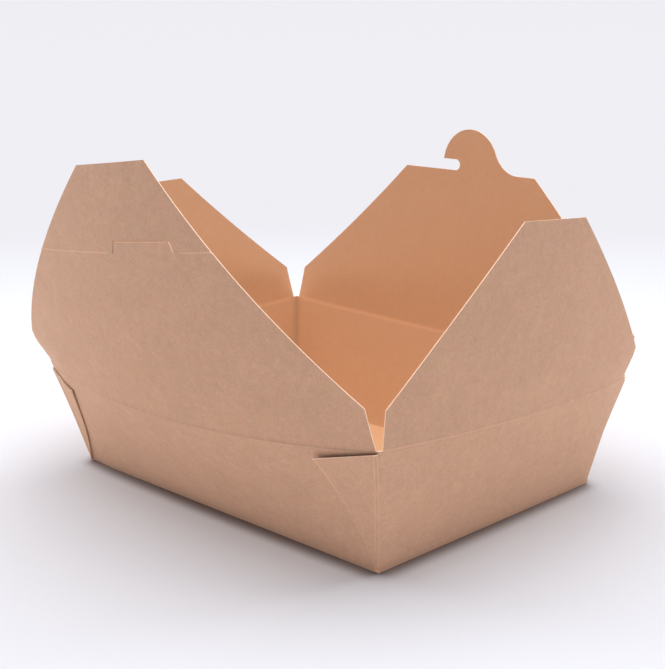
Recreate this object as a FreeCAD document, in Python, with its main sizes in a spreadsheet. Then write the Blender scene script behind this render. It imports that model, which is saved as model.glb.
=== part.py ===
import FreeCAD
import Part
import Sketcher
import math
import os
from FreeCAD import Vector

# One-piece folded takeaway box of kraft board, open, with its four lid flaps standing up
# Millimetres and degrees; X along the long side, Z up, origin at the middle of the underside

SIZES = (
    ("base_length", 196.9, "Base panel along X"),
    ("base_width", 139.7, "Base panel along Y"),
    ("rim_length", 228.8, "Rim between the end creases along X"),
    ("rim_width", 173.9, "Rim between the long creases along Y"),
    ("wall_height", 54.9, "Mean height of the rim corners"),
    ("rim_twist", 3.3, "Two opposite rim corners stand this much higher, two lower"),
    ("rim_skew", 3.2, "The higher rim corners stand this much further out, the others in"),
    ("board", 0.42, "Thickness of the board"),
    ("slot_bow", 12.5, "Outward bow of the slot wall at its crease"),
    ("hook_bow", 4.8, "Outward bow of the hook wall at its crease"),
    ("end_bow", 4.7, "Outward bow of each end wall at its crease"),
    ("slot_lean", 9.0, "Outward lean of the slot flap"),
    ("hook_lean", 6.2, "Outward lean of the hook flap"),
    ("near_lean", 5.6, "Outward lean of the near end flap"),
    ("far_lean", 11.0, "Outward lean of the far end flap"),
    ("slot_curl", 6.1, "Curl of the slot flap over its reach"),
    ("hook_curl", 4.6, "Curl of the hook flap over its reach"),
    ("near_curl", 1.1, "Curl of the near end flap over its reach"),
    ("far_curl", 2.1, "Curl of the far end flap over its reach"),
    ("slot_twist", 2.3, "Twist of the slot flap: one side edge leans out by this, the other in"),
    ("near_twist", -4.3, "The same for the near end flap"),
    ("crease_gap", 0.4, "Gap between a wall's rim and its flap"),
    ("slot_gap", 1.4, "Distance of the slot flap's side edges from the rim corners"),
    ("hook_gap", 2.0, "The same for the hook flap"),
    ("near_gap", 2.5, "The same for the near end flap"),
    ("far_gap", 2.5, "The same for the far end flap"),
    ("slot_shift", -0.3, "Place of the slot flap's middle along its crease"),
    ("near_shift", 0.7, "The same for the near end flap"),
    ("slot_shoulder", 16.8, "Height of the slot flap's shoulders, where it starts to narrow"),
    ("hook_shoulder", 17.4, "The same for the hook flap"),
    ("near_shoulder", 14.6, "The same for the near end flap"),
    ("far_shoulder", 17.9, "The same for the far end flap"),
    ("slot_reach", 102.8, "Reach of the slot flap beyond its crease"),
    ("hook_reach", 83.1, "Reach of the hook flap to its straight tip"),
    ("near_reach", 77.8, "Reach of the near end flap"),
    ("far_reach", 77.9, "Reach of the far end flap"),
    ("slot_slope", -2.5, "Rise of the slot flap's tip from one end to the other"),
    ("slot_tip", 44.8, "Width of the slot flap's straight tip"),
    ("hook_tip", 85.7, "The same for the hook flap"),
    ("near_tip", 38.0, "The same for the near end flap"),
    ("far_tip", 42.4, "The same for the far end flap"),
    ("tab_radius", 17.9, "Round head of the hook"),
    ("tab_centre", 0.8, "Middle of the hook's head along the tip"),
    ("tab_rise", 3.4, "Middle of the hook's head above the tip"),
    ("notch_depth", 11.0, "Depth of the slot beside the hook's neck"),
    ("notch_height", 5.6, "Height of the slot beside the hook's neck"),
    ("fillet_radius", 16.0, "Hollow curve on the neck's other side"),
    ("slit_height", 70.2, "Cross crease of the slot flap above its own crease"),
    ("slit_rise", 4.4, "Height of the raised slit above the cross crease"),
    ("slit_start", -36.5, "Slit's end nearer the near corner, from the flap's middle"),
    ("slit_length", 38.0, "Length of the raised slit"),
    ("slit_slant", 1.6, "Slope of the slit's two short sides"),
    ("slit_width", 0.3, "Width of the cut"),
    ("web_width", 28.8, "Length of a corner web along the rim"),
    ("web_drop", 5.7, "Depth of the web's free point below the crease"),
    ("web_gap", 0.9, "Gap between the web's free point and the wall"),
    ("web_foot", 2.2, "Height of the web's lower point along the corner"),
    ("web_head", 1.4, "Depth of the web's upper point along the corner"),
    ("web_inset", 0.15, "Distance of the web's fold from the corner edge"),
    ("sheet_spare", 3.0, "Length of a flap's curved sheet beyond its outline, before the cut to shape"),
    ("slot_spare", 8.0, "The same for the slot flap, which curls and bows most"),
)

os.makedirs("parts", exist_ok=True)
doc = FreeCAD.newDocument("takeaway_box")
sheet = doc.addObject("Spreadsheet::Sheet", "Sizes")
for row, (alias, value, meaning) in enumerate(SIZES, start=1):
    sheet.set("A%d" % row, meaning)
    sheet.set("B%d" % row, str(value))
    sheet.setAlias("B%d" % row, alias)
doc.recompute()


def size(alias):
    return float(sheet.get(alias))


BOARD = size("board")
UP = Vector(0, 0, 1)


# Corners and sides

def corner(end, side):
    """Base and rim corner, with end and side +1 or -1 along X and Y."""
    lift = -end * side
    base = Vector(end * size("base_length") / 2, side * size("base_width") / 2, 0)
    skew = lift * size("rim_skew")
    rim = Vector(
        end * (size("rim_length") / 2 + skew),
        side * (size("rim_width") / 2 + skew),
        size("wall_height") + lift * size("rim_twist"),
    )
    return base, rim


class Side:
    """One side of the box: its corners run so that outward = up x along."""

    def __init__(self, first, last, flare, bow):
        self.ends = (first, last)
        self.base = [corner(*first)[0], corner(*last)[0]]
        self.rim = [corner(*first)[1], corner(*last)[1]]
        self.along = (self.rim[1] - self.rim[0]).normalize()
        self.up = (UP - self.along * self.along.dot(UP)).normalize()
        self.outward = self.up.cross(self.along)
        self.half = (self.rim[1] - self.rim[0]).Length / 2
        self.middle = (self.rim[0] + self.rim[1]) * 0.5
        # The slanted wall keeps its length, so a crease that bows out also sags
        height = size("wall_height")
        slant = math.hypot(height, flare)
        sag = height - math.sqrt(slant ** 2 - (flare + bow) ** 2)
        self.bulge = self.outward * bow - self.up * sag

    def wall_point(self, x, level):
        """Point on the wall's outer face, x along the crease, level 0 at the base and 1 at the rim."""
        ratio = x / self.half
        low = self.base[0] * ((1 - ratio) / 2) + self.base[1] * ((1 + ratio) / 2)
        high = self.middle + self.along * x + self.bulge * (1 - ratio ** 2)
        return low * (1 - level) + high * level


FLARE_LONG = (size("rim_width") - size("base_width")) / 2
FLARE_END = (size("rim_length") - size("base_length")) / 2
SLOT_SIDE = Side((1, -1), (-1, -1), FLARE_LONG, size("slot_bow"))
FAR_SIDE = Side((-1, -1), (-1, 1), FLARE_END, size("end_bow"))
HOOK_SIDE = Side((-1, 1), (1, 1), FLARE_LONG, size("hook_bow"))
NEAR_SIDE = Side((1, 1), (1, -1), FLARE_END, size("end_bow"))


# Sheet solids between two curved faces

def patch(poles):
    surface = Part.BezierSurface()
    surface.increase(len(poles) - 1, len(poles[0]) - 1)
    for i, line in enumerate(poles, start=1):
        for j, pole in enumerate(line, start=1):
            surface.setPole(i, j, pole)
    return surface.toShape()


def sheet_solid(outer, inner):
    """Closed solid between two grids of poles: rows go up the sheet, columns along it."""
    faces = [patch(outer), patch(inner)]
    faces.append(patch([outer[0], inner[0]]))
    faces.append(patch([outer[-1], inner[-1]]))
    for column in (0, -1):
        edge = [row[column] for row in outer]
        back = [row[column] for row in inner]
        faces.append(patch([edge, back]))
    return closed_solid(faces)


def closed_solid(faces):
    shell = Part.makeShell(faces)
    shell.sewShape()
    solid = Part.makeSolid(shell)
    if solid.Volume < 0:
        solid.reverse()
    return solid


def feature(label, shape):
    obj = doc.addObject("Part::Feature", label)
    obj.Label = label
    obj.Shape = shape
    return obj


# Box body: base panel, four bowed walls and four double corner webs, folded from one sheet

def wall(side):
    outer = [
        [side.base[0], (side.base[0] + side.base[1]) * 0.5, side.base[1]],
        [side.rim[0], side.middle + side.bulge * 2, side.rim[1]],
    ]
    steps = [Vector(-end * BOARD, -across * BOARD, 0) for end, across in side.ends]
    inward = (steps[0] + steps[1]) * 0.5
    moves = [steps[0], inward, steps[1]]
    inner = [[pole + move for pole, move in zip(row, moves)] for row in outer]
    return sheet_solid(outer, inner)


def web(side, which):
    """Corner web folded double against the outside of a long wall."""
    foot, head = side.base[which], side.rim[which]
    edge = (head - foot).normalize()
    toward = side.along * (1 if which == 0 else -1)
    x = (-1 if which == 0 else 1) * (side.half - size("web_width"))
    point = side.wall_point(x, 1 - size("web_drop") / size("wall_height"))
    low = foot + edge * size("web_foot") + toward * size("web_inset")
    high = head - edge * size("web_head") + toward * size("web_inset")
    normal = (high - low).cross(point - low).normalize()
    if normal.dot(side.outward) < 0:
        normal = normal * -1
    inner = [low - normal * BOARD, high - normal * BOARD, point + normal * size("web_gap")]
    outer = [low + normal * BOARD * 2, high + normal * BOARD * 2]
    outer.append(inner[2] + normal * BOARD * 2)
    faces = [Part.Face(Part.makePolygon(loop + [loop[0]])) for loop in (inner, outer)]
    for i in range(3):
        j = (i + 1) % 3
        loop = [inner[i], inner[j], outer[j], outer[i], inner[i]]
        faces.append(Part.Face(Part.makePolygon(loop)))
    return closed_solid(faces)


base_panel = doc.addObject("Part::Box", "base_panel")
base_panel.setExpression("Length", "Sizes.base_length")
base_panel.setExpression("Width", "Sizes.base_width")
base_panel.setExpression("Height", "Sizes.board")
base_panel.setExpression("Placement.Base.x", "-Sizes.base_length / 2")
base_panel.setExpression("Placement.Base.y", "-Sizes.base_width / 2")

walls = [
    feature("slot_wall", wall(SLOT_SIDE)),
    feature("far_wall", wall(FAR_SIDE)),
    feature("hook_wall", wall(HOOK_SIDE)),
    feature("near_wall", wall(NEAR_SIDE)),
]
webs = [
    feature("web_%s_%d" % (name, which + 1), web(side, which))
    for name, side in (("slot", SLOT_SIDE), ("hook", HOOK_SIDE))
    for which in (0, 1)
]
box_body = doc.addObject("Part::MultiFuse", "box_body")
box_body.Label = "box_body"
box_body.Shapes = [base_panel] + walls + webs


# Flap outlines, drawn flat: X along the crease, Z up the flap

def outline_sketch(label, corners, arcs):
    """Closed outline through corners given as pairs of expressions; arcs maps a corner's
    number to the radius and the sense of the arc that leaves it."""
    sketch = doc.addObject("Sketcher::SketchObject", label)
    sketch.Placement = FreeCAD.Placement(Vector(0, 0, 0), FreeCAD.Rotation(Vector(1, 0, 0), 90))
    points = []
    for across, along in corners:
        points.append(Vector(sheet.evalExpression(across), sheet.evalExpression(along), 0))
    count = len(points)
    for i, start in enumerate(points):
        finish = points[(i + 1) % count]
        if i in arcs:
            radius, turn = sheet.evalExpression(arcs[i][0]), arcs[i][1]
            sketch.addGeometry(arc_between(start, finish, radius, turn), False)
        else:
            sketch.addGeometry(Part.LineSegment(start, finish), False)
    for i in range(count):
        ahead = (i + 1) % count
        leave = 2 if i not in arcs or arcs[i][1] > 0 else 1
        enter = 1 if ahead not in arcs or arcs[ahead][1] > 0 else 2
        sketch.addConstraint(Sketcher.Constraint("Coincident", i, leave, ahead, enter))
    for i, (across, along) in enumerate(corners):
        start = 1 if i not in arcs or arcs[i][1] > 0 else 2
        for kind, value, text in (
            ("DistanceX", points[i].x, across),
            ("DistanceY", points[i].y, along),
        ):
            number = sketch.addConstraint(Sketcher.Constraint(kind, -1, 1, i, start, value))
            sketch.setExpression("Constraints[%d]" % number, text)
    for i, (radius, turn) in arcs.items():
        value = sheet.evalExpression(radius)
        if value * 2 > (points[i + 1] - points[i]).Length * 1.001:
            number = sketch.addConstraint(Sketcher.Constraint("Radius", i, value))
            sketch.setExpression("Constraints[%d]" % number, radius)
        else:
            sketch.addConstraint(Sketcher.Constraint("Vertical", i, 1, i, 3))
    return sketch


def arc_between(start, finish, radius, turn):
    """Arc from start to finish: turn +1 or +2 counter-clockwise, -1 or -2 clockwise, 2 the long way."""
    chord = finish - start
    normal = Vector(-chord.y, chord.x, 0).normalize()
    offset = math.sqrt(max(radius ** 2 - (chord.Length / 2) ** 2, 0))
    side = (1 if turn > 0 else -1) * (1 if abs(turn) == 1 else -1)
    centre = (start + finish) * 0.5 + normal * offset * side
    circle = Part.Circle(centre, Vector(0, 0, 1), radius)
    first, second = (start, finish) if turn > 0 else (finish, start)
    return Part.ArcOfCircle(circle, circle.parameter(first), circle.parameter(second))


def flap_corners(name, rim, shift="0", slope="0"):
    """Right and left half of a plain flap, from below its crease up to its tip and down again."""
    edge = "Sizes.%s / 2 - Sizes.%s_gap" % (rim, name)
    shoulder = "Sizes.%s_shoulder" % name
    reach = "Sizes.%s_reach" % name
    tip = "Sizes.%s_tip / 2" % name
    right = [
        ("%s + %s" % (shift, edge), "-" + shoulder),
        ("%s + %s" % (shift, edge), shoulder),
        ("%s + %s" % (shift, tip), "%s + %s / 2" % (reach, slope)),
    ]
    left = [
        ("%s - %s" % (shift, tip), "%s - %s / 2" % (reach, slope)),
        ("%s - (%s)" % (shift, edge), shoulder),
        ("%s - (%s)" % (shift, edge), "-" + shoulder),
    ]
    return right, left


def prism(label, sketch):
    solid = doc.addObject("Part::Extrusion", label)
    solid.Base = sketch
    solid.DirMode = "Custom"
    solid.Dir = Vector(0, 1, 0)
    solid.Solid = True
    solid.setExpression("LengthFwd", "Sizes.wall_height")
    solid.setExpression("LengthRev", "Sizes.wall_height")
    return solid


# Flap sheets, curved across by the wall's bow and up by their own curl

class FlapFrame:
    """Local axes of a flap: along its crease, outward from its face, up its lean."""

    def __init__(self, side, lean):
        angle = math.radians(lean)
        self.along = side.along
        self.face = side.outward * math.cos(angle) - side.up * math.sin(angle)
        self.rise = side.up * math.cos(angle) + side.outward * math.sin(angle)
        self.origin = side.middle
        self.bulge = Vector(0, side.bulge.dot(self.face), side.bulge.dot(self.rise))

    def placement(self):
        turn = FreeCAD.Rotation(self.along, self.face, self.rise, "ZXY")
        return FreeCAD.Placement(self.origin, turn)


def flap_sheet(side, frame, curl, reach, twist):
    """Curved sheet under a flap's outline."""
    start = size("crease_gap")
    rows = []
    for height, swell in ((start, 0), ((start + reach) / 2, 2 * curl), (reach, 0)):
        row = []
        for x, share in ((-side.half, 0), (0, 2), (side.half, 0)):
            turn = math.tan(math.radians(twist)) * (height - start) * x / side.half
            row.append(Vector(x, swell + turn, height) + frame.bulge * share)
        rows.append(row)
    inner = [[pole - Vector(0, BOARD, 0) for pole in row] for row in rows]
    return sheet_solid(rows, inner)


def flap(name, side, reach, outline, twist=0.0, cuts=()):
    label = name + "_flap"
    frame = FlapFrame(side, size(name + "_lean"))
    blank = feature(label + "_sheet", flap_sheet(side, frame, size(name + "_curl"), reach, twist))
    common = doc.addObject("Part::Common", label + "_blank")
    common.Base = blank
    common.Tool = prism(label + "_prism", outline)
    result = common
    for number, cut in enumerate(cuts, start=1):
        result = doc.addObject("Part::Cut", "%s_cut_%d" % (label, number))
        result.Base = common
        result.Tool = cut
        common = result
    result.Label = label
    result.Placement = frame.placement()
    return result


# Hook flap: round head with a slot on one side of its neck and a hollow curve on the other

def hook_outline():
    right, left = flap_corners("hook", "rim_length")
    tip = "Sizes.hook_reach"
    centre, rise, radius = "Sizes.tab_centre", "Sizes.tab_rise", "Sizes.tab_radius"
    hollow = "Sizes.fillet_radius"
    notch = "Sizes.notch_height"
    lip = "%s - sqrt(%s^2 - (%s - %s)^2)" % (centre, radius, notch, rise)
    # The hollow curve meets the head where the two circles touch
    gap = "(%s + %s)" % (radius, hollow)
    run = "sqrt(%s^2 - (%s - %s)^2)" % (gap, hollow, rise)
    foot = "%s + %s" % (centre, run)
    touch_x = "%s + %s * %s / %s" % (centre, run, radius, gap)
    touch_z = "%s + %s + (%s - %s) * %s / %s" % (tip, rise, hollow, rise, radius, gap)
    neck = "%s + Sizes.notch_depth - %s / 2" % (lip, notch)
    corners = right + [
        (foot, tip),
        (touch_x, touch_z),
        (lip, "%s + %s" % (tip, notch)),
        (neck, "%s + %s" % (tip, notch)),
        (neck, tip),
    ] + left
    arcs = {3: (hollow, -1), 4: (radius, 1), 6: ("%s / 2" % notch, -1)}
    return outline_sketch("hook_flap_outline", corners, arcs)


# Slot flap: a raised slit, cut through, in the cross crease near its tip

def slit_cut():
    start, slant = "Sizes.slit_start", "Sizes.slit_slant"
    finish = "(%s + Sizes.slit_length)" % start
    low, high, cut = "Sizes.slit_height", "Sizes.slit_height + Sizes.slit_rise", "Sizes.slit_width"
    corners = [
        (start, low),
        ("%s + %s" % (start, cut), low),
        ("%s + %s + %s" % (start, slant, cut), "%s - %s" % (high, cut)),
        ("%s - %s - %s" % (finish, slant, cut), "%s - %s" % (high, cut)),
        ("%s - %s" % (finish, cut), low),
        (finish, low),
        ("%s - %s" % (finish, slant), high),
        ("%s + %s" % (start, slant), high),
    ]
    return prism("slit_prism", outline_sketch("slit_outline", corners, {}))


def plain_outline(name, rim, shift="0", slope="0"):
    right, left = flap_corners(name, rim, shift, slope)
    return outline_sketch(name + "_flap_outline", right + left, {})


SPARE = size("sheet_spare")
slot_outline = plain_outline("slot", "rim_length", "Sizes.slot_shift", "Sizes.slot_slope")
near_outline = plain_outline("near", "rim_width", "Sizes.near_shift")
far_outline = plain_outline("far", "rim_width")
hook_sheet = size("hook_reach") + size("tab_rise") + size("tab_radius") + SPARE
flaps = [
    flap("slot", SLOT_SIDE, size("slot_reach") + size("slot_spare"), slot_outline,
         size("slot_twist"), [slit_cut()]),
    flap("hook", HOOK_SIDE, hook_sheet, hook_outline()),
    flap("near", NEAR_SIDE, size("near_reach") + SPARE, near_outline, size("near_twist")),
    flap("far", FAR_SIDE, size("far_reach") + SPARE, far_outline),
]
doc.recompute()

for obj in doc.Objects:
    if "Invalid" in obj.State or "Error" in obj.State:
        raise RuntimeError("%s failed to build" % obj.Label)
for obj in [box_body] + flaps:
    if obj.Shape.isNull() or not obj.Shape.isValid() or len(obj.Shape.Solids) != 1:
        raise RuntimeError("%s is not one valid solid" % obj.Label)
for obj in [box_body] + flaps:
    obj.Shape.exportStep("parts/%s.step" % obj.Label)
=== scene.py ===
import math
import bpy
from bpy.props import FloatProperty, FloatVectorProperty, PointerProperty
from mathutils import Matrix, Vector
from mathutils.kdtree import KDTree


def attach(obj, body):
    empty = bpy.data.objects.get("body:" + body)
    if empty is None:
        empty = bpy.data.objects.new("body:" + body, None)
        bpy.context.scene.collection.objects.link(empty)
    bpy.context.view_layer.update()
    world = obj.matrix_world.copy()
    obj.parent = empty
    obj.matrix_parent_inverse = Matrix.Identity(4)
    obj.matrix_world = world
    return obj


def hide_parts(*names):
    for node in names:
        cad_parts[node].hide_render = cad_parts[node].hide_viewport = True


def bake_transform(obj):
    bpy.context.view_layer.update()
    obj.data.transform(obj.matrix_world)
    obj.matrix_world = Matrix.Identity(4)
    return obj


bl_info = {
    "name": "Folding takeaway box",
    "version": (1, 0, 0),
    "blender": (4, 5, 0),
    "location": "3D View > Sidebar > Takeaway box",
    "description": "Kraft board food box with webbed corners and four creased lid flaps",
    "category": "Object",
}

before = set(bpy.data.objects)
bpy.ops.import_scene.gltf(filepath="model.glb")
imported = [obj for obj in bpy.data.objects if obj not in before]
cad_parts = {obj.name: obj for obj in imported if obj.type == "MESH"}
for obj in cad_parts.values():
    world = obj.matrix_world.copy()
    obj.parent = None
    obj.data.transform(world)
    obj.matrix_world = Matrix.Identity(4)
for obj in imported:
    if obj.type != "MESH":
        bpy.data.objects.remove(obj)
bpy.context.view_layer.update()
MM = 0.001
UP = Vector((0, 0, 1))

# Points closer than this are one point, and points lower than this are on the base
SAME = 0.02 * MM
FLAT = 0.01 * MM

# Spacing of the cuts at which a flat sheet bends
COLUMN = 6 * MM
ROW = 3.5 * MM
FIRST_ROW = 3 * MM
SCORE_ROW = 0.2 * MM
SCORE_ROWS = 11
WALL_ROW = 0.07
WEB_ROWS = 16
BASE_MARGIN = 1.5 * MM
ARC_STEP = math.radians(6)

# Sheets with a smaller angle between their faces are shaded as one
SMOOTH_ANGLE = math.radians(38)

# Height above a crease of the point that finish_flap works out and then leaves unused
CREASE_BAND = 2.2 * MM

# Webs: share of its gap at which a web's corner end stands, clearance in boards under its lower
# layer, and share of its height from the foot over which its painted crease highlights fade in
WEB_CORNER_LIFT = 0.6
WEB_CLEARANCE = 0.2
WEB_PLAIN_FOOT = 0.15

# Painted highlight (tone above 0) and painted shade (below 0) in lines beside each crease: tone,
# height above the crease and half width in millimetres
PAINTED_CREASE_LINES = {
    "slot": ((-0.42, 0.0, 0.6),),
    "near": ((0.42, 0.1, 0.65), (-0.25, -0.9, 0.6)),
    "hook": ((0.36, -0.3, 2.4),),
    "far": ((0.36, -0.3, 2.4),),
}

# How strong the painted lines are: in the middle of the crease, the change from there to its end, at
# least
PAINTED_CREASE_STRENGTH = {
    "slot": (0.6, -1.0, 0.0),
    "near": (0.75, 0.8, 0.2),
    "hook": (1.0, 0.0, 1.0),
    "far": (1.0, 0.0, 1.0),
}
# Painted shade in the folded corners: on their inside, and along the walls' corner columns
INNER_FOLD_PAINTED_SHADE = -0.36
CORNER_COLUMN_PAINTED_SHADE = -0.4

# Studio: lamps with their place, size and power, and the camera
LAMPS = (
    ("top_light", (-0.13, 0.1, 1.4), 1.7, 32.0),
    ("left_light", (-2.2, -0.5, 0.3), 0.8, 24.0),
    ("right_light", (0.7, 2.15, 0.3), 0.8, 26.0),
)
LAMP_TINT = (1.0, 0.975, 0.95)
LAMP_AIM = Vector((0, 0, 0.05))
CAMERA_PLACE = Vector((0.3867, -0.3774, 0.1880))
CAMERA_YAW = math.radians(45.488)
CAMERA_PITCH = math.radians(-12.628)
CAMERA_ROLL = math.radians(-0.536)
CAMERA_LENS = 64.01
CAMERA_SHIFT = (0.0018, 0.0016)


# Sizes and colours that a user would change

def length(name, millimetres, description):
    return FloatProperty(
        name=name, description=description, default=millimetres * MM, unit="LENGTH", precision=5)


def angle(name, degrees, description):
    return FloatProperty(
        name=name, description=description, default=math.radians(degrees), unit="ROTATION")


def share(name, value, description):
    return FloatProperty(
        name=name, description=description, default=value, subtype="FACTOR", min=0.0, max=1.0)


def colour(name, red, green, blue, description):
    return FloatVectorProperty(
        name=name, description=description, default=(red, green, blue), subtype="COLOR",
        min=0.0, max=1.0)


class TAKEAWAY_PG_sizes(bpy.types.PropertyGroup):
    """Sizes of the box. Down to the slit's slant they are those of the solid part, and from
    there on they are set for the picture."""

    base_length: length("Base length", 196.9, "Base panel along X")
    base_width: length("Base width", 139.7, "Base panel along Y")
    rim_length: length("Rim length", 228.8, "Rim between the end creases")
    rim_width: length("Rim width", 173.9, "Rim between the long creases")
    wall_height: length("Wall height", 54.9, "Mean height of the rim corners")
    rim_twist: length("Rim twist", 3.3, "Two opposite rim corners stand this much higher, two lower")
    rim_skew: length("Rim skew", 3.2, "The higher rim corners stand this much further out")
    board: length("Board", 0.42, "Thickness of the board")
    slot_bow: length("Slot wall bow", 12.5, "Outward bow of the slot wall at its crease")
    hook_bow: length("Hook wall bow", 4.8, "Outward bow of the hook wall at its crease")
    end_bow: length("End wall bow", 4.7, "Outward bow of each end wall at its crease")
    slot_lean: angle("Slot flap lean", 9.0, "Outward lean of the slot flap")
    hook_lean: angle("Hook flap lean", 6.2, "Outward lean of the hook flap")
    near_lean: angle("Near flap lean", 5.6, "Outward lean of the near end flap")
    far_lean: angle("Far flap lean", 11.0, "Outward lean of the far end flap")
    slot_curl: length("Slot flap curl", 6.1, "Curl of the slot flap over its reach")
    hook_curl: length("Hook flap curl", 4.6, "Curl of the hook flap over its reach")
    near_curl: length("Near flap curl", 1.1, "Curl of the near end flap over its reach")
    far_curl: length("Far flap curl", 2.1, "Curl of the far end flap over its reach")
    slot_twist: angle("Slot flap twist", 2.3, "One side edge leans out by this, the other in")
    hook_twist: angle("Hook flap twist", 0.0, "One side edge leans out by this, the other in")
    near_twist: angle("Near flap twist", -4.3, "One side edge leans out by this, the other in")
    far_twist: angle("Far flap twist", 0.0, "One side edge leans out by this, the other in")
    slot_gap: length("Slot flap gap", 1.4, "Distance of its side edges from the rim corners")
    hook_gap: length("Hook flap gap", 2.0, "Distance of its side edges from the rim corners")
    near_gap: length("Near flap gap", 2.5, "Distance of its side edges from the rim corners")
    far_gap: length("Far flap gap", 2.5, "Distance of its side edges from the rim corners")
    slot_shift: length("Slot flap shift", -0.3, "Place of its middle along the crease")
    hook_shift: length("Hook flap shift", 0.0, "Place of its middle along the crease")
    near_shift: length("Near flap shift", 0.7, "Place of its middle along the crease")
    far_shift: length("Far flap shift", 0.0, "Place of its middle along the crease")
    slot_shoulder: length("Slot flap shoulder", 16.8, "Height where it starts to narrow")
    hook_shoulder: length("Hook flap shoulder", 17.4, "Height where it starts to narrow")
    near_shoulder: length("Near flap shoulder", 14.6, "Height where it starts to narrow")
    far_shoulder: length("Far flap shoulder", 17.9, "Height where it starts to narrow")
    slot_reach: length("Slot flap reach", 102.8, "Reach beyond its crease")
    hook_reach: length("Hook flap reach", 83.1, "Reach to its straight tip")
    near_reach: length("Near flap reach", 77.8, "Reach beyond its crease")
    far_reach: length("Far flap reach", 77.9, "Reach beyond its crease")
    slot_tip: length("Slot flap tip", 44.8, "Width of its straight tip")
    hook_tip: length("Hook flap tip", 85.7, "Width of its straight tip")
    near_tip: length("Near flap tip", 38.0, "Width of its straight tip")
    far_tip: length("Far flap tip", 42.4, "Width of its straight tip")
    slot_slope: length("Slot tip slope", -2.5, "Rise of the slot flap's tip along it")
    tab_radius: length("Hook radius", 17.9, "Round head of the hook")
    tab_centre: length("Hook centre", 0.8, "Middle of the hook's head along the tip")
    tab_rise: length("Hook rise", 3.4, "Middle of the hook's head above the tip")
    notch_depth: length("Notch depth", 11.0, "Depth of the slot beside the hook's neck")
    notch_height: length("Notch height", 5.6, "Height of the slot beside the hook's neck")
    hollow_radius: length("Hollow radius", 16.0, "Hollow curve on the neck's other side")
    slit_height: length("Slit height", 70.2, "Cross crease of the slot flap above its own crease")
    slit_rise: length("Slit rise", 4.4, "Height of the raised slit above the cross crease")
    slit_start: length("Slit start", -36.5, "Slit's end nearer the near corner")
    slit_length: length("Slit length", 38.0, "Length of the raised slit")
    slit_slant: length("Slit slant", 1.6, "Slope of the slit's two short sides")
    slit_width: length("Slit width", 0.15, "Width of the cut")
    slit_spring: length("Slit spring", 0.45, "How far the slit's tongue springs out")
    slit_crest: length("Slit crest", 0.16, "How far the cross crease stands out")
    web_width: length("Web width", 27.3, "Length of a corner web along the rim")
    web_drop: length("Web drop", 3.9, "Depth of the web's free point below the crease")
    left_web_drop: length("Left web drop", 8.4, "The same depth of the left web")
    web_head: length("Web head", 0.9, "Depth of the near web's upper point along the corner")
    left_web_head: length("Left web head", 3.9, "The same depth of the left web")
    rear_web_head: length("Rear web head", 2.25, "The same depth of the two webs of the hook wall")
    web_gap: length("Web gap", 1.9, "Gap between the near web's free point and the wall")
    tight_gap: length("Tight web gap", 0.38, "The same gap of the three other webs")
    web_foot: length("Web foot", 2.2, "Height of the near web's lower point along the corner")
    tight_foot: length("Tight web foot", 0.8, "The same height of the three other webs")
    web_layer: share("Web layer", 0.8, "Thickness of a web's layer as a share of the board")
    left_press: length("Left press", 2.6, "How far the corner of slot and far wall is pressed in")
    left_foot_press: share("Left foot press", 0.65, "Share of it that is left at the foot")
    right_press: length("Right press", 1.8, "How far the corner of hook and near wall is pressed in")
    press_spread: length("Pressed spread", 26.0, "How far the press reaches round it")
    fold_radius: length("Fold radius", 0.46, "Rounding of the folded corners and base edges")
    bead_height: length("Bead height", 0.3, "Height of the bead that a crease leaves")
    bead_width: length("Bead width", 1.1, "Half width of the bead that a crease leaves")
    bead_fade: length("Bead fade", 4.0, "Distance from a corner at which the bead starts to sink")


class TAKEAWAY_PG_colours(bpy.types.PropertyGroup):
    """Colours of the board and the studio."""

    outside: colour("Outside", 0.49, 0.296, 0.196, "Unprinted kraft face")
    inside: colour("Inside", 0.63, 0.358, 0.198, "Smoother food side")
    edge: colour("Cut edge", 0.93, 0.70, 0.53, "Pale core at a cut edge")
    floor: colour("Floor", 0.615, 0.635, 0.69, "Studio floor")
    # Painted shade on the floor beside the box
    contact: colour("Contact shade", 0.19, 0.145, 0.135, "Floor right under the box's edges")
    bounce: colour("Bounce", 0.9, 0.885, 0.88, "Floor as the box sees it")
    backdrop: colour("Backdrop", 0.87, 0.86, 0.905, "Behind the floor")


def sizes():
    return bpy.context.scene.takeaway_sizes


def colours():
    return bpy.context.scene.takeaway_colours


# Shader maths

class Value:
    """A shader socket that adds Math nodes when it is used in an expression."""

    def __init__(self, graph, socket):
        self.graph = graph
        self.socket = socket

    def __add__(self, other):
        return self.graph.maths("ADD", self, other)

    def __sub__(self, other):
        return self.graph.maths("SUBTRACT", self, other)

    def __rsub__(self, other):
        return self.graph.maths("SUBTRACT", other, self)

    def __mul__(self, other):
        return self.graph.maths("MULTIPLY", self, other)

    __radd__ = __add__
    __rmul__ = __mul__


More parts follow.
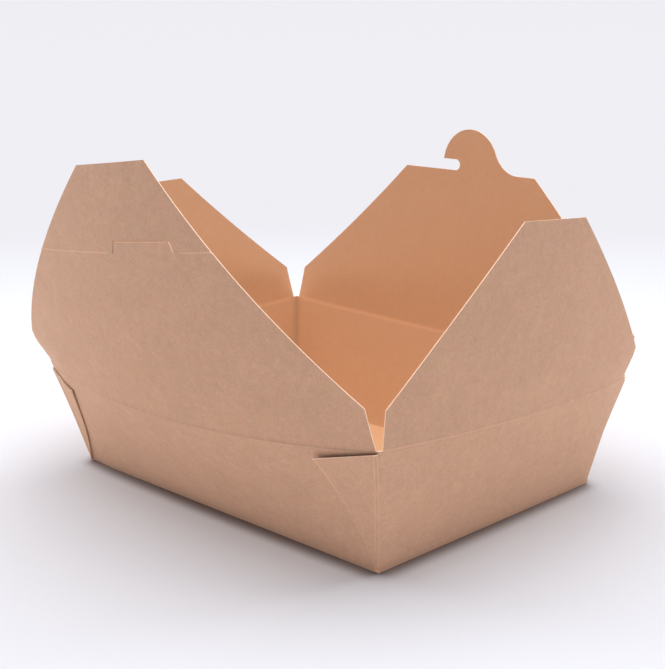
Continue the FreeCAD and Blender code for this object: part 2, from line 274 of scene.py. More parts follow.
class Graph:
    """Nodes of one material."""

    def __init__(self, tree):
        self.tree = tree
        tree.nodes.clear()

    def node(self, kind, settings=None, inputs=None):
        made = self.tree.nodes.new(kind)
        for name, value in (settings or {}).items():
            setattr(made, name, value)
        for name, value in (inputs or {}).items():
            socket = made.inputs[name]
            if isinstance(value, Value):
                self.tree.links.new(value.socket, socket)
            elif hasattr(value, "is_output"):
                self.tree.links.new(value, socket)
            else:
                socket.default_value = value
        return made

    def read(self, kind, output, settings=None, inputs=None):
        """One output of a new node, ready for an expression."""
        return Value(self, self.node(kind, settings, inputs).outputs[output])

    def maths(self, operation, first, second):
        return self.read("ShaderNodeMath", 0, {"operation": operation}, {0: first, 1: second})

    def smooth(self, value, low, high):
        """0 below low, 1 above high and a smooth step between."""
        return self.read(
            "ShaderNodeMapRange", "Result", {"interpolation_type": "SMOOTHSTEP"},
            {"Value": value, "From Min": low, "From Max": high})

    def noise(self, vector, scale, detail, roughness):
        return self.read(
            "ShaderNodeTexNoise", "Fac", {},
            {"Vector": vector, "Scale": scale, "Detail": detail, "Roughness": roughness})

    def mix(self, factor, first, second):
        made = self.node(
            "ShaderNodeMix", {"data_type": "RGBA", "blend_type": "MIX"},
            {0: factor, 6: first, 7: second})
        return made.outputs[2]


def rgba(rgb, scale=1.0):
    return tinted(rgb, scale, scale, scale)


def tinted(rgb, red, green, blue):
    return (rgb[0] * red, rgb[1] * green, rgb[2] * blue, 1.0)


def board_material(name, rgb, roughness, contrast, bump):
    """Kraft board: long fibres, fine speckle and faint cloudiness."""
    material = bpy.data.materials.new(name)
    material.use_nodes = True
    g = Graph(material.node_tree)
    place = g.node("ShaderNodeTexCoord").outputs["Object"]
    lengthwise = g.node("ShaderNodeMapping", {}, {"Vector": place, "Scale": (0.35, 0.35, 1.0)})
    upright = g.node("ShaderNodeMapping", {}, {"Vector": place, "Scale": (1.0, 1.0, 0.45)})
    lengthwise = lengthwise.outputs[0]
    upright = upright.outputs[0]
    fibre = g.noise(upright, scale=1500.0, detail=3.0, roughness=0.65)
    speckle = g.noise(lengthwise, scale=2600.0, detail=2.0, roughness=0.6)
    patch = g.noise(place, scale=260.0, detail=4.0, roughness=0.6)
    cloud = g.noise(place, scale=55.0, detail=3.0, roughness=0.5)
    shade = g.smooth(fibre * 0.3 + speckle * 0.32 + patch * 0.24 + cloud * 0.14, 0.38, 0.62)
    cool = tinted(rgb, 1 - contrast, 1 - contrast * 1.15, 1 - contrast)
    warm = tinted(rgb, 1 + contrast, 1 + contrast, 1 + contrast * 1.2)
    base = g.mix(shade, cool, warm)
    # Darker fibres and paler flecks, as in recycled pulp
    strands = g.smooth(g.noise(upright, scale=900.0, detail=2.0, roughness=0.5), 0.62, 0.74)
    flecks = g.smooth(g.noise(lengthwise, scale=1400.0, detail=1.0, roughness=0.5), 0.64, 0.72)
    base = g.mix(strands * (contrast * 1.2), base, rgba(rgb, 0.6))
    base = g.mix(flecks * (contrast * 1.6), base, rgba(rgb, 1.35))
    # Some patches are pinker, some yellower
    pinker = g.smooth(g.noise(place, scale=400.0, detail=2.0, roughness=0.5), 0.5, 0.68)
    yellower = g.smooth(g.noise(lengthwise, scale=360.0, detail=2.0, roughness=0.5), 0.52, 0.7)
    base = g.mix(pinker * (contrast * 5.0), base, tinted(rgb, 1.07, 0.95, 0.97))
    base = g.mix(yellower * (contrast * 4.0), base, tinted(rgb, 0.95, 1.0, 0.88))
    # Painted highlight and painted shade, set at each point: paler where creases, folds and cut
    # edges catch light, darker where shade falls
    crease = g.read("ShaderNodeAttribute", "Fac", {"attribute_name": "painted_shading"})
    base = g.mix(g.smooth(crease, 0.0, 1.0), base, rgba(rgb, 1.45))
    base = g.mix(g.smooth(crease * -1.0, 0.0, 1.0), base, rgba(rgb, 0.42))
    relief = g.node("ShaderNodeBump", {}, {
        "Height": fibre * 0.5 + speckle * 0.3 + patch * 0.2,
        "Strength": bump,
        "Distance": 0.12 * MM,
    })
    shader = g.node("ShaderNodeBsdfPrincipled", {}, {
        "Base Color": base,
        "Roughness": shade * 0.08 + (roughness - 0.04),
        "Normal": relief.outputs[0],
        "Specular IOR Level": 0.3,
    })
    g.node("ShaderNodeOutputMaterial", {}, {"Surface": shader.outputs[0]})
    return material


def board_materials():
    """The two faces of the board and its cut edge, made once."""
    made = []
    for name, rgb, roughness, contrast, bump in (
        ("kraft_outside", colours().outside, 0.82, 0.1, 0.6),
        ("kraft_inside", colours().inside, 0.48, 0.03, 0.2),
        ("cut_edge", colours().edge, 0.8, 0.06, 0.4),
    ):
        material = bpy.data.materials.get(name)
        made.append(material or board_material(name, rgb, roughness, contrast, bump))
    return made


# The folded shape

def clamp(value, low=0.0, high=1.0):
    return min(high, max(low, value))


def ridge(distance, width):
    """1 on a line and 0 at this width from it."""
    part = min(1.0, abs(distance) / width)
    return 1 - part * part * (3 - 2 * part)


def corner(end, side):
    """Base and rim corner, with end and side +1 or -1 along X and Y."""
    s = sizes()
    lift = -end * side
    skew = lift * s.rim_skew
    base = Vector((end * s.base_length / 2, side * s.base_width / 2, 0))
    rim = Vector((
        end * (s.rim_length / 2 + skew),
        side * (s.rim_width / 2 + skew),
        s.wall_height + lift * s.rim_twist,
    ))
    return base, rim


class Side:
    """One side of the box: a bowed wall and the flap above its crease."""

    def __init__(self, name, first, last, flare, bow, sheet):
        s = sizes()
        self.name = name
        lean = getattr(s, name + "_lean")
        self.curl = getattr(s, name + "_curl")
        self.twist = math.tan(getattr(s, name + "_twist"))
        self.shoulder = getattr(s, name + "_shoulder")
        self.base = [corner(*first)[0], corner(*last)[0]]
        self.rim = [corner(*first)[1], corner(*last)[1]]
        self.along = (self.rim[1] - self.rim[0]).normalized()
        self.up = (UP - self.along * self.along.dot(UP)).normalized()
        self.outward = self.up.cross(self.along)
        self.half = (self.rim[1] - self.rim[0]).length / 2
        self.middle = (self.rim[0] + self.rim[1]) * 0.5
        self.slant = math.hypot(s.wall_height, flare)
        sag = s.wall_height - math.sqrt(self.slant ** 2 - (flare + bow) ** 2)
        self.bulge = self.outward * bow - self.up * sag
        self.face = self.outward * math.cos(lean) - self.up * math.sin(lean)
        self.rise = self.up * math.cos(lean) + self.outward * math.sin(lean)
        self.sheet = sheet
        self.beaded = name in ("slot", "near")

    def bead(self, distance, x):
        """Outward swelling beside the crease, gone at the corners."""
        s = sizes()
        if not self.beaded or abs(distance) > s.bead_width:
            return Vector((0, 0, 0))
        swell = s.bead_height * (1 + math.cos(math.pi * distance / s.bead_width)) / 2
        fade = clamp((self.half - abs(x)) / s.bead_fade)
        return self.bulge.normalized() * swell * fade

    def crease_shading(self, distance, x):
        """Painted highlight and shade beside the crease: distance is above 0 on the flap."""
        middle, change, least = PAINTED_CREASE_STRENGTH[self.name]
        strength = clamp(middle + change * x / self.half, least)
        return strength * sum(
            tone * ridge(distance - height * MM, width * MM)
            for tone, height, width in PAINTED_CREASE_LINES[self.name])

    def wall_point(self, x, level):
        """Point of the wall: level is 0 at the base and 1 at the crease."""
        ratio = x / self.half
        low = self.base[0] * ((1 - ratio) / 2) + self.base[1] * ((1 + ratio) / 2)
        high = self.middle + self.along * x + self.bulge * (1 - ratio ** 2)
        return low * (1 - level) + high * level + self.bead((1 - level) * self.slant, x)

    def flap_point(self, x, height):
        """Point of the flap from its flat outline: height is measured from the crease's chord."""
        bow = 1 - (x / self.half) ** 2
        sag = self.bulge.dot(self.rise) * bow
        height = height + sag * max(0.0, 1 - height / self.shoulder)
        part = max(0.0, (height - sag) / self.sheet)
        depth = 4 * self.curl * part * (1 - part) + self.bulge.dot(self.face) * bow
        depth += self.twist * (height - sag) * x / self.half
        point = self.middle + self.along * x + self.face * depth + self.rise * height
        return point + self.bead(height - sag, x)

    def crease_normal(self):
        """Upward normal of the plane that holds the bowed crease."""
        normal = self.bulge.cross(self.along).normalized()
        return normal if normal.dot(UP) > 0 else -normal


def sides():
    s = sizes()
    flare_long = (s.rim_width - s.base_width) / 2
    flare_end = (s.rim_length - s.base_length) / 2
    head = s.hook_reach + s.tab_rise + s.tab_radius
    # The curl runs over a little more than each flap's reach
    spare, slot_spare = 3 * MM, 8 * MM
    return {
        "slot": Side("slot", (1, -1), (-1, -1), flare_long, s.slot_bow, s.slot_reach + slot_spare),
        "far": Side("far", (-1, -1), (-1, 1), flare_end, s.end_bow, s.far_reach + spare),
        "hook": Side("hook", (-1, 1), (1, 1), flare_long, s.hook_bow, head + spare),
        "near": Side("near", (1, 1), (1, -1), flare_end, s.end_bow, s.near_reach + spare),
    }


def settled(point):
    """The two lower corners of the rim are pressed in a little, one of them down to its foot."""
    s = sizes()
    presses = ((-1, s.left_press, s.left_foot_press), (1, s.right_press, 0.0))
    for sign, depth, foot in presses:
        base, rim = corner(sign, sign)
        level = clamp(point.z / rim.z)
        line = base.lerp(rim, level)
        distance = math.hypot(point.x - line.x, point.y - line.y)
        above = ridge(max(0.0, point.z - rim.z), 0.5 * s.press_spread)
        below = foot + (1 - foot) * min(1.0, level * 2)
        push = depth * ridge(distance, s.press_spread) * above * below
        point = point - base.xy.to_3d().normalized() * push
    return point


# Modelling steps

def deselect():
    if bpy.context.mode != "OBJECT":
        bpy.ops.object.mode_set(mode="OBJECT")
    bpy.ops.object.select_all(action="DESELECT")


def named(name):
    piece = bpy.context.object
    piece.name = name
    piece.data.name = name
    return piece


def pick(piece):
    deselect()
    piece.select_set(True)
    bpy.context.view_layer.objects.active = piece


def edit(piece, kind="VERT"):
    """Edit mode for vertices, edges or faces."""
    pick(piece)
    kinds = ("VERT", "EDGE", "FACE")
    bpy.context.tool_settings.mesh_select_mode = [each == kind for each in kinds]
    bpy.ops.object.mode_set(mode="EDIT")


def edit_all(piece):
    edit(piece)
    bpy.ops.mesh.select_all(action="SELECT")


def edit_where(piece, kind, wanted):
    """Edit mode with only those vertices, edges or faces selected for which wanted is true."""
    edit(piece, kind)
    bpy.ops.mesh.select_all(action="DESELECT")
    bpy.ops.object.mode_set(mode="OBJECT")
    mesh = piece.data
    elements = {"VERT": mesh.vertices, "EDGE": mesh.edges, "FACE": mesh.polygons}
    for element in elements[kind]:
        element.select = wanted(element)
    edit(piece, kind)


def bend(piece, place, mark):
    """Takes every point of a flat piece to its folded place. mark gives the painted light there:
    above 0 a painted highlight, below 0 painted shade."""
    tones = piece.data.attributes.new("painted_shading", "FLOAT", "POINT")
    for vertex in piece.data.vertices:
        tones.data[vertex.index].value = mark(vertex.co)
        vertex.co = settled(place(vertex.co))
    piece.data.update()


def thicken(piece, thickness, even=False):
    """Gives the sheet its thickness inward: outside, inside and cut edge."""
    pick(piece)
    for material in board_materials():
        piece.data.materials.append(material)
    modifier = piece.modifiers.new("Thickness", "SOLIDIFY")
    modifier.thickness = thickness
    modifier.offset = -1.0
    modifier.use_even_offset = even
    modifier.use_quality_normals = True
    modifier.material_offset = 1
    modifier.material_offset_rim = 2
    bpy.ops.object.modifier_apply(modifier=modifier.name)
    bpy.ops.object.shade_smooth_by_angle(angle=SMOOTH_ANGLE)


def draw_outline(name, corners, arcs):
    """Flat face on the XZ plane, drawn corner by corner. arcs maps a corner's number to the
    centre of the arc that leaves it and its sense, 1 counter-clockwise seen from the front."""
    bpy.ops.mesh.primitive_plane_add(size=MM)
    piece = named(name)
    edit_all(piece)
    bpy.ops.mesh.merge(type="CENTER")
    bpy.ops.transform.translate(value=(corners[0][0], 0, corners[0][1]))
    for i, start in enumerate(corners):
        finish = corners[(i + 1) % len(corners)]
        if i in arcs:
            centre, turn = arcs[i]
            first = math.atan2(start[1] - centre[1], start[0] - centre[0])
            last = math.atan2(finish[1] - centre[1], finish[0] - centre[0])
            sweep = (last - first) * turn % (2 * math.pi)
            bpy.ops.mesh.spin(
                steps=max(6, round(sweep / ARC_STEP)), angle=sweep,
                center=(centre[0], 0, centre[1]), axis=(0, turn, 0))
        else:
            move = (finish[0] - start[0], 0, finish[1] - start[1])
            bpy.ops.mesh.extrude_region_move(TRANSFORM_OT_translate={"value": move})
    bpy.ops.mesh.select_all(action="SELECT")
    bpy.ops.mesh.remove_doubles(threshold=SAME)
    bpy.ops.mesh.select_all(action="SELECT")
    bpy.ops.mesh.edge_face_add()
    bpy.ops.object.mode_set(mode="OBJECT")
    return piece


def bisect(piece, places, normal):
    """Straight cuts across the flat piece, so that it can bend."""
    normal = Vector(normal).normalized()
    edit(piece)
    for place in places:
        bpy.ops.mesh.select_all(action="SELECT")
        bpy.ops.mesh.bisect(plane_co=place, plane_no=normal)
    bpy.ops.object.mode_set(mode="OBJECT")


def steps(first, last, spacing):
    count = max(1, round((last - first) / spacing))
    return [first + (last - first) * i / count for i in range(count + 1)]


def score_rows():
    """Distances of the fine rows beside a crease."""
    return [i * SCORE_ROW for i in range(1, SCORE_ROWS + 1)]


def flap_piece(name, outline, arcs, half, top):
    """Flat flap, cut into rows and columns, with its outside to the box's outside."""
    piece = draw_outline(name, outline, arcs)
    rows = score_rows() + steps(FIRST_ROW, top, ROW)
    bisect(piece, [(0, 0, z) for z in rows], (0, 0, 1))
    bisect(piece, [(x, 0, 0) for x in steps(-half, half, COLUMN)], (1, 0, 0))
    if sum(face.normal.y * face.area for face in piece.data.polygons) < 0:
        edit_all(piece)
        bpy.ops.mesh.flip_normals()
        bpy.ops.object.mode_set(mode="OBJECT")
    return piece


def flap_corners(name, rim, slope=0.0):
    """Right and left half of a plain flap, from its crease up to its tip and down again."""
    s = sizes()
    gap, tip, reach, shoulder, shift = [
        getattr(s, "%s_%s" % (name, part)) for part in ("gap", "tip", "reach", "shoulder", "shift")]
    edge = rim / 2 - gap
    right = [(shift + edge, 0), (shift + edge, shoulder), (shift + tip / 2, reach + slope / 2)]
    left = [(shift - tip / 2, reach - slope / 2), (shift - edge, shoulder), (shift - edge, 0)]
    return right, left


def bend_flap(piece, side):
    bend(piece, lambda p: side.flap_point(p.x, p.z), lambda p: side.crease_shading(p.z, p.x))


def finish_flap(piece, side, node):
    """Thickness, and hiding the node that the piece replaces."""
    thicken(piece, sizes().board)
    top = side.middle + side.crease_normal() * CREASE_BAND
    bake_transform(piece)
    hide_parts(node)


class TAKEAWAY_OT_tray(bpy.types.Operator):
    """Base panel and four bowed walls, folded from one sheet."""

    bl_idname = "takeaway.tray"
    bl_label = "Tray"

    def execute(self, context):
        s = sizes()
        board = sides()
        slant = board["slot"].slant
        tops = [1 - d / slant for d in [0.0] + score_rows()]
        levels = steps(0, tops[-1], WALL_ROW)[:-1] + tops[::-1]
        walls = [self.wall(side, levels) for side in board.values()]
        deselect()
        for wall in walls:
            wall.select_set(True)
        bpy.context.view_layer.objects.active = walls[0]
        bpy.ops.object.join()
        tray = named("tray")
        edit_all(tray)
        bpy.ops.mesh.remove_doubles(threshold=SAME)
        edit_where(tray, "VERT", lambda vertex: abs(vertex.co.z) < FLAT)
        bpy.ops.mesh.edge_face_add()
        folds = self.fold_points(board, levels)

        def folded(edge):
            ends = [tray.data.vertices[i].co for i in edge.vertices]
            low = all(abs(p.z) < FLAT for p in ends)
            return low or all(folds.find(p)[2] < SAME for p in ends)

        edit_where(tray, "EDGE", folded)
        bpy.ops.mesh.bevel(offset=s.fold_radius, segments=3, affect="EDGES")
        # A flat margin keeps the shading of the base level
        deselect()
        largest = max(tray.data.polygons, key=lambda face: face.area).index
        edit_where(tray, "FACE", lambda face: face.index == largest)
        bpy.ops.mesh.inset(thickness=BASE_MARGIN)
        thicken(tray, s.board, even=True)
        self.paint_fold_shade(tray, folds)
        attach(tray, "box")
        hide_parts("box_body")
        return {"FINISHED"}

    def wall(self, side, levels):
        columns = round(side.half * 2 / COLUMN)
        rows = len(levels) - 1
        bpy.ops.mesh.primitive_grid_add(x_subdivisions=columns, y_subdivisions=rows, size=1)
        grid = named("wall")

        def level(p):
            return levels[round((p.y + 0.5) * rows)]

        def along(p):
            return -2 * p.x * side.half

        def tone(p):
            # Painted shade on the walls' corner columns, and the painted crease lines
            corner_shade = CORNER_COLUMN_PAINTED_SHADE * ridge(0.5 - abs(p.x), 0.5 / columns)
            return side.crease_shading((level(p) - 1) * side.slant, along(p)) + corner_shade

        bend(grid, lambda p: side.wall_point(along(p), level(p)), tone)
        return grid

    def fold_points(self, board, levels):
        """Points along the four folded corners, for finding what lies on them."""
        stations = levels + steps(0, 1, 0.01)
        folds = KDTree(len(stations) * len(board))
        for i, side in enumerate(board.values()):
            for j, level in enumerate(stations):
                point = settled(side.wall_point(-side.half, level))
                folds.insert(point, i * len(stations) + j)
        folds.balance()
        return folds

    def paint_fold_shade(self, tray, folds):
        """Paints shade into the folded corners on the inside only, and clears their painted tone on
        the outside.
        """
        near = 3 * sizes().fold_radius
        faces = tray.data.polygons
        outside = {i for face in faces if face.material_index == 0 for i in face.vertices}
        tones = tray.data.attributes["painted_shading"]
        for vertex in tray.data.vertices:
            if folds.find(vertex.co)[2] < near:
                tone = 0.0 if vertex.index in outside else INNER_FOLD_PAINTED_SHADE
                tones.data[vertex.index].value = tone


class TAKEAWAY_OT_webs(bpy.types.Operator):
    """Four corner webs, each folded double against the outside of a long wall."""

    bl_idname = "takeaway.webs"
    bl_label = "Corner webs"

    def execute(self, context):
        s = sizes()
        board = sides()
        # Depths of the free and the upper point, gap to the wall and height of the foot
        near = (s.web_drop, s.web_head, s.web_gap, s.web_foot)
        left = (s.left_web_drop, s.left_web_head, s.tight_gap, s.tight_foot)
        rear = (s.web_drop, s.rear_web_head, s.tight_gap, s.tight_foot)
        for name, forms in (("slot", (near, left)), ("hook", (rear, rear))):
            for which, form in enumerate(forms):
                self.web("web_%s_%d" % (name, which + 1), board[name], which, form)
        return {"FINISHED"}

    def web(self, name, side, which, form):
        s = sizes()
        drop, head_depth, gap, foot_height = form
        foot, head = side.base[which], side.rim[which]
        edge = (head - foot).normalized()
        sign = -1 if which == 0 else 1
        toward = side.along * -sign
        foot_level = foot_height / s.wall_height
        top_level = 1 - drop / s.wall_height
        point = side.wall_point(sign * (side.half - s.web_width), top_level)
        low = foot + edge * foot_height
        high = head - edge * head_depth
        normal = (high - low).cross(point - low).normalized()
        if normal.dot(side.outward) < 0:
            normal = -normal
        across = (toward - edge * toward.dot(edge)).normalized()
        section, tones = web_section(s)
        count = len(section) - 1
        bpy.ops.mesh.primitive_grid_add(x_subdivisions=count, y_subdivisions=WEB_ROWS, size=1)
        web = named(name)

        def station(p):
            return round((p.x + 0.5) * count)

        def place(p):
            inward, out, part = section[station(p)]
            level = p.y + 0.5
            free = side.wall_point(
                sign * (side.half - s.web_width * level),
                foot_level + (top_level - foot_level) * level)
            free = free.lerp(low, (1 - level) ** 6)
            outer = low.lerp(high, level).lerp(free, part)
            # It springs off the wall towards its upper edge
            lift = gap * (WEB_CORNER_LIFT + (1 - WEB_CORNER_LIFT) * part) * level ** 4
            return outer + across * inward + normal * (out + lift + s.board * WEB_CLEARANCE)

        def tone(p):
            # The painted highlights and shade at its creases fade out towards the narrow foot
            return tones[station(p)] * min(1, (p.y + 0.5) / WEB_PLAIN_FOOT)

        bend(web, place, tone)
        if which == 0:
            edit_all(web)
            bpy.ops.mesh.flip_normals()
        thicken(web, s.board * s.web_layer)
        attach(web, "box")


def web_section(s):
    """Cross-section of a web: along the wall, out from it and share of its width, and the
    painted highlight or shade at its creases. It starts on the end wall, rounds the corner, runs to
    the fold, turns back and ends in the corner."""
    height = 2 * s.board
    radius = 2.6 * s.board
    start = height - radius
    # The strip on the end wall lies just under its outer face
    sunk = 0.03 * MM
    corner_end = 0.6 * MM
    path = [(-0.05 * MM, start - 0.5 * MM, 0), (-sunk, start - 0.25 * MM, 0)]
    tones = [0, 0]
    # Painted highlights at both ends of the rounded corner, painted shade in its middle
    for i, tone in enumerate((0.45, 0.0, -0.15, -0.15, 0.0, 0.45)):
        turn = math.radians(90 * i / 5)
        out = height - radius * (1 - math.sin(turn))
        path.append((radius * (1 - math.cos(turn)) - sunk, out, 0))
        tones.append(tone)
    # A painted highlight along the fold
    for part in (0.03, 0.06, 0.25, 0.5, 0.75, 0.94, 0.97, 1.0):
        path.append((radius * (1 - part), height, part))
        tones.append(0.75 if part == 1.0 else 0.0)
    # A fainter painted highlight where it turns back
    for i in range(1, 6):
        turn = math.radians(180 * i / 5)
        path.append((s.board * math.sin(turn), s.board * (1 + math.cos(turn)), 1))
        tones.append(0.3 if i == 1 else 0.0)
    for i in range(7, -1, -1):
        path.append((corner_end * (1 - i / 8), 0, i / 8))
        tones.append(0.0)
    return path, tones


class TAKEAWAY_OT_end_flaps(bpy.types.Operator):
    """Two plain end flaps with shoulders."""

    bl_idname = "takeaway.end_flaps"
    bl_label = "End flaps"

    def execute(self, context):
        s = sizes()
        board = sides()
        for name in ("near", "far"):
            right, left = flap_corners(name, s.rim_width)
            top = right[-1][1]
            piece = flap_piece(name + "_end_flap", right + left, {}, s.rim_width / 2, top)
            bend_flap(piece, board[name])
            finish_flap(piece, board[name], name + "_flap")
        return {"FINISHED"}


class TAKEAWAY_OT_hook_flap(bpy.types.Operator):
    """Flap with a round-headed hook, a slot on one side of its neck and a hollow on the other."""

    bl_idname = "takeaway.hook_flap"
    bl_label = "Hook flap"

    def execute(self, context):
        s = sizes()
        side = sides()["hook"]
        right, left = flap_corners("hook", s.rim_length)
        tip, rise, hollow, radius = s.hook_reach, s.tab_rise, s.hollow_radius, s.tab_radius
        # The hollow's arc leaves the tip level and touches the head's arc
        gap = radius + hollow
        run = math.sqrt(gap ** 2 - (hollow - rise) ** 2)
        foot = s.tab_centre + run
        touch = (s.tab_centre + run * radius / gap, tip + rise + (hollow - rise) * radius / gap)
        lip = s.tab_centre - math.sqrt(radius ** 2 - (s.notch_height - rise) ** 2)
        neck = lip + s.notch_depth - s.notch_height / 2
        notch_top = tip + s.notch_height
        hook = [(foot, tip), touch, (lip, notch_top), (neck, notch_top), (neck, tip)]
        arcs = {
            3: ((foot, tip + hollow), -1),
            4: ((s.tab_centre, tip + rise), 1),
            6: ((neck, tip + s.notch_height / 2), -1),
        }
        top = tip + rise + radius
        piece = flap_piece("hook_lid_flap", right + hook + left, arcs, s.rim_length / 2, top)
        bend_flap(piece, side)
        finish_flap(piece, side, "hook_flap")
        return {"FINISHED"}


class TAKEAWAY_OT_slot_flap(bpy.types.Operator):
    """Flap with a cross crease near its tip and a raised slit cut in it."""

    bl_idname = "takeaway.slot_flap"
    bl_label = "Slot flap"

    # Half widths and tones of the painted highlight and painted shadow along the slit's cut, and of
    # the painted highlight along the cross crease
    cut_width = 0.9 * MM
    cut_highlight = 0.4
    cut_shadow = -0.9
    line_width = 0.7 * MM
    crest_highlight = 0.45
    crest_width = 0.75 * MM

    def execute(self, context):
        s = sizes()
        side = sides()["slot"]
        right, left = flap_corners("slot", s.rim_length, s.slot_slope)
        outline = right + left
        piece = flap_piece("slot_lid_flap", outline, {}, s.rim_length / 2, s.slot_reach)
        self.cut_rows(piece)
        tongue = self.cut_tongue(piece)

        def place(p):
            crest = 0 if self.in_tongue(p, self.cut_width) else s.slit_crest
            lift = crest * ridge(self.above(p), self.crest_width)
            return side.flap_point(p.x, p.z) + side.face * lift

        def tone(p):
            height = self.above(p)
            lit, shaded = self.tongue_sides(height)
            reach = self.cut_width
            # Away from the slit: the painted crease lines and a painted highlight on the cross
            # crease's crest
            if not lit - reach < p.x < shaded + reach:
                return side.crease_shading(p.z, p.x) + self.crest_highlight * ridge(height, self.line_width)
            # A painted highlight along the tongue's top cut
            if not -0.3 * MM < height < s.slit_rise + 0.1 * MM:
                return self.cut_highlight * ridge(height - s.slit_rise, reach)
            # Painted highlight on the tongue's lit side, painted shadow in the gap on its shaded
            # side
            pale = self.cut_highlight * ridge(p.x - lit, reach)
            return pale + self.cut_shadow * ridge(p.x - shaded, reach)

        bend(piece, place, tone)
        for index, part in tongue.items():
            piece.data.vertices[index].co += side.face * s.slit_spring * part
        finish_flap(piece, side, "slot_flap")
        return {"FINISHED"}

    def cut_rows(self, piece):
        """Fine cuts beside the cross crease and along the slit's three sides."""
        s = sizes()
        start, finish, rise = s.slit_start, s.slit_start + s.slit_length, s.slit_rise
        spacing = 0.25 * MM
        beside = 0.8 * MM
        fine = [i * spacing for i in range(-4, 5)]
        fine += [rise - 2 * MM, rise - beside, rise, rise + beside]
        rows = [(start, 0, s.slit_height + z) for z in fine]
        bisect(piece, rows, (-self.slope(), 0, 1))
        for x, slant in ((start, s.slit_slant), (finish, -s.slit_slant)):
            level = self.crease_level(x)
            cuts = [(x + step, 0, level) for step in (-beside, 0.0, beside)]
            bisect(piece, cuts, (rise, 0, -slant))

    def slope(self):
        """The cross crease runs parallel to the flap's tip."""
        s = sizes()
        return s.slot_slope / s.slot_tip

    def crease_level(self, x):
        s = sizes()
        return s.slit_height + self.slope() * (x - s.slit_start)

    def above(self, p):
        """Height above the cross crease."""
        return p.z - self.crease_level(p.x)

    def tongue_sides(self, height):
        s = sizes()
        slant = s.slit_slant * height / s.slit_rise
        return s.slit_start + slant, s.slit_start + s.slit_length - slant

    def in_tongue(self, p, margin=0.0):
        height = self.above(p)
        first, last = self.tongue_sides(height)
        level = -margin < height < sizes().slit_rise + margin
        return level and first - margin < p.x < last + margin

    def cut_tongue(self, piece):
        """Splits the sheet along the slit and returns how far up the tongue each point is."""
        s = sizes()
        mesh = piece.data
        edit_where(piece, "FACE", lambda face: self.in_tongue(face.center))
        bpy.ops.mesh.split()
        bpy.ops.object.mode_set(mode="OBJECT")
        loose = {i for face in mesh.polygons if self.in_tongue(face.center) for i in face.vertices}
        for index in loose:
            vertex = mesh.vertices[index]
            height = self.above(vertex.co)
            if height < SAME:
                continue
            first, last = self.tongue_sides(height)
            if height > s.slit_rise - SAME:
                vertex.co.z -= s.slit_width
            if abs(vertex.co.x - first) < 5 * SAME:
                vertex.co.x += s.slit_width
            if abs(vertex.co.x - last) < 5 * SAME:
                vertex.co.x -= s.slit_width

        def joined(vertex):
            return vertex.index in loose or abs(self.above(vertex.co)) < SAME

        # The tongue's foot stays joined to the sheet, and its own close points become one
        edit_where(piece, "VERT", joined)
        bpy.ops.mesh.remove_doubles(threshold=SAME)
        bpy.ops.object.mode_set(mode="OBJECT")
        parts = {}
        for face in mesh.polygons:
            if self.in_tongue(face.center):
                for index in face.vertices:
                    parts[index] = max(0.0, self.above(mesh.vertices[index].co) / s.slit_rise)
        return parts


# Studio

def seen_directly(g):
    """1 where the camera, a mirror or glass looks straight at a surface."""
    path = g.node("ShaderNodeLightPath")
    rays = ("Is Camera Ray", "Is Glossy Ray", "Is Transmission Ray")
    camera, glossy, passed = [Value(g, path.outputs[name]) for name in rays]
    return g.smooth(camera + glossy + passed, 0.0, 1.0)


def floor_material():
    """Matt pale floor that fades into the backdrop away from the box."""
    material = bpy.data.materials.new("studio_floor")
    material.use_nodes = True
    g = Graph(material.node_tree)
    place = g.node("ShaderNodeTexCoord").outputs["Object"]
    distance = g.node("ShaderNodeVectorMath", {"operation": "LENGTH"}, {0: place}).outputs["Value"]
    away = g.smooth(distance, 0.3, 1.1)
    seen = seen_directly(g)
    tint = g.mix(seen, rgba(colours().bounce), rgba(colours().floor))
    # Painted shade: darker and browner right beside the box
    open_sky = g.read("ShaderNodeAmbientOcclusion", "AO", {"samples": 8}, {"Distance": 9 * MM})
    clear = g.smooth(open_sky, 0.25, 1.0)
    tint = g.mix(clear, rgba(colours().contact), tint)
    # The floor glows, and the box gets more of that light than the camera
    for_box, for_eye = 0.32, 0.1
    table = g.node("ShaderNodeBsdfPrincipled", {}, {
        "Base Color": tint,
        "Roughness": 0.9,
        "Emission Color": seen * (clear * for_eye - for_box) + for_box,
        "Emission Strength": 1.0,
    })
    glow = g.node("ShaderNodeEmission", {}, {"Color": rgba(colours().backdrop)})
    both = g.node("ShaderNodeMixShader", {}, {
        0: away * seen, 1: table.outputs[0], 2: glow.outputs[0]})
    g.node("ShaderNodeOutputMaterial", {}, {"Surface": both.outputs[0]})
    return material


def studio_world():
    """Soft light all round, and a pale backdrop that darkens a little upwards."""
    world = bpy.data.worlds.new("studio")
    world.use_nodes = True
    g = Graph(world.node_tree)
    ray = g.node("ShaderNodeTexCoord").outputs["Generated"]
    rise = g.read("ShaderNodeSeparateXYZ", "Z", {}, {0: ray})
    backdrop = colours().backdrop
    high = g.mix(g.smooth(rise, 0.0, 0.3), rgba(backdrop), rgba(backdrop, 0.93))
    seen = seen_directly(g)
    # The room is bright all round and dimmer overhead
    room = g.smooth(rise, 0.05, 0.5) * -0.28 + 0.5
    strength = room * (1 - seen) + seen
    tint = g.mix(seen, (0.94, 0.98, 1.08, 1.0), high)
    light = g.node("ShaderNodeBackground", {}, {"Color": tint, "Strength": strength})
    g.node("ShaderNodeOutputWorld", {}, {"Surface": light.outputs[0]})
    return world


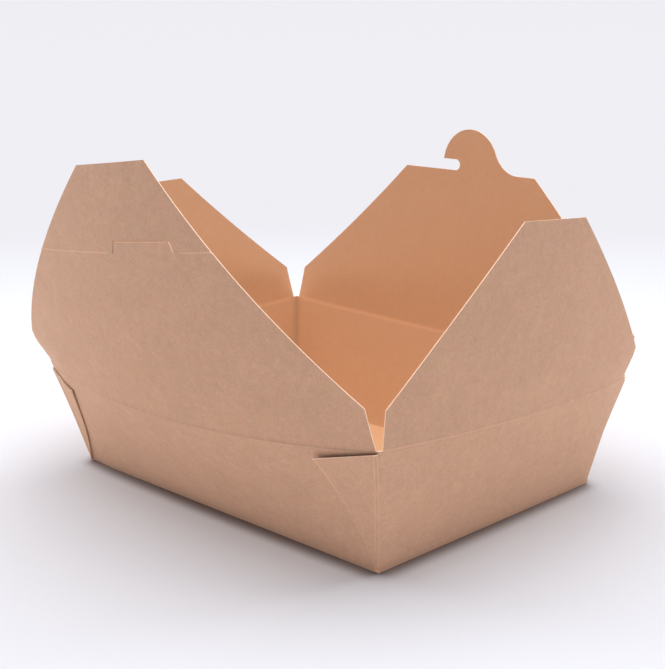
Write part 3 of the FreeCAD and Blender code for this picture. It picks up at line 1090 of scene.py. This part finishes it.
class TAKEAWAY_OT_stage(bpy.types.Operator):
    """Floor, backdrop, soft lights and the camera."""

    bl_idname = "takeaway.stage"
    bl_label = "Stage"

    def execute(self, context):
        bpy.ops.mesh.primitive_plane_add(size=6.0)
        floor = named("floor")
        floor.data.materials.append(floor_material())
        scene = context.scene
        scene.world = studio_world()
        for name, place, size, power in LAMPS:
            lamp = bpy.data.lights.new(name, "AREA")
            lamp.size = size
            lamp.energy = power
            lamp.color = LAMP_TINT
            holder = bpy.data.objects.new(name, lamp)
            scene.collection.objects.link(holder)
            holder.location = place
            holder.visible_camera = False
            aim = LAMP_AIM - Vector(place)
            holder.rotation_euler = aim.to_track_quat("-Z", "Y").to_euler()
        lens = bpy.data.cameras.new("camera")
        lens.sensor_fit = "HORIZONTAL"
        lens.sensor_width = 36.0
        lens.lens = CAMERA_LENS
        lens.shift_x, lens.shift_y = CAMERA_SHIFT
        camera = bpy.data.objects.new("camera", lens)
        scene.collection.objects.link(camera)
        camera.matrix_world = camera_matrix()
        scene.camera = camera
        scene.view_settings.view_transform = "Standard"
        return {"FINISHED"}


def camera_matrix():
    """Where the camera stands, turned by its yaw and pitch and then rolled."""
    level = Vector((-math.sin(CAMERA_YAW), math.cos(CAMERA_YAW), 0)) * math.cos(CAMERA_PITCH)
    ahead = level + UP * math.sin(CAMERA_PITCH)
    right = Vector((math.cos(CAMERA_YAW), math.sin(CAMERA_YAW), 0))
    upward = right.cross(ahead)
    rolled_right = right * math.cos(CAMERA_ROLL) + upward * math.sin(CAMERA_ROLL)
    rolled_up = upward * math.cos(CAMERA_ROLL) - right * math.sin(CAMERA_ROLL)
    turn = Matrix((rolled_right, rolled_up, -ahead)).transposed().to_4x4()
    return Matrix.Translation(CAMERA_PLACE) @ turn


class TAKEAWAY_PT_panel(bpy.types.Panel):
    """Sizes, colours and the steps that build the box."""

    bl_idname = "TAKEAWAY_PT_panel"
    bl_label = "Takeaway box"
    bl_space_type = "VIEW_3D"
    bl_region_type = "UI"
    bl_category = "Takeaway box"

    def draw(self, context):
        layout = self.layout
        for group in (context.scene.takeaway_sizes, context.scene.takeaway_colours):
            for name in group.__annotations__:
                layout.prop(group, name)
        for operator in OPERATORS:
            layout.operator(operator.bl_idname)


OPERATORS = (
    TAKEAWAY_OT_tray,
    TAKEAWAY_OT_webs,
    TAKEAWAY_OT_end_flaps,
    TAKEAWAY_OT_hook_flap,
    TAKEAWAY_OT_slot_flap,
    TAKEAWAY_OT_stage,
)
CLASSES = (TAKEAWAY_PG_sizes, TAKEAWAY_PG_colours) + OPERATORS + (TAKEAWAY_PT_panel,)


def register():
    for each in CLASSES:
        bpy.utils.register_class(each)
    bpy.types.Scene.takeaway_sizes = PointerProperty(type=TAKEAWAY_PG_sizes)
    bpy.types.Scene.takeaway_colours = PointerProperty(type=TAKEAWAY_PG_colours)


def unregister():
    del bpy.types.Scene.takeaway_colours
    del bpy.types.Scene.takeaway_sizes
    for each in reversed(CLASSES):
        bpy.utils.unregister_class(each)


def main():
    register()
    deselect()
    bpy.ops.takeaway.tray()
    bpy.ops.takeaway.webs()
    bpy.ops.takeaway.end_flaps()
    bpy.ops.takeaway.hook_flap()
    bpy.ops.takeaway.slot_flap()
    bpy.ops.takeaway.stage()


if __name__ == "__main__":
    main()
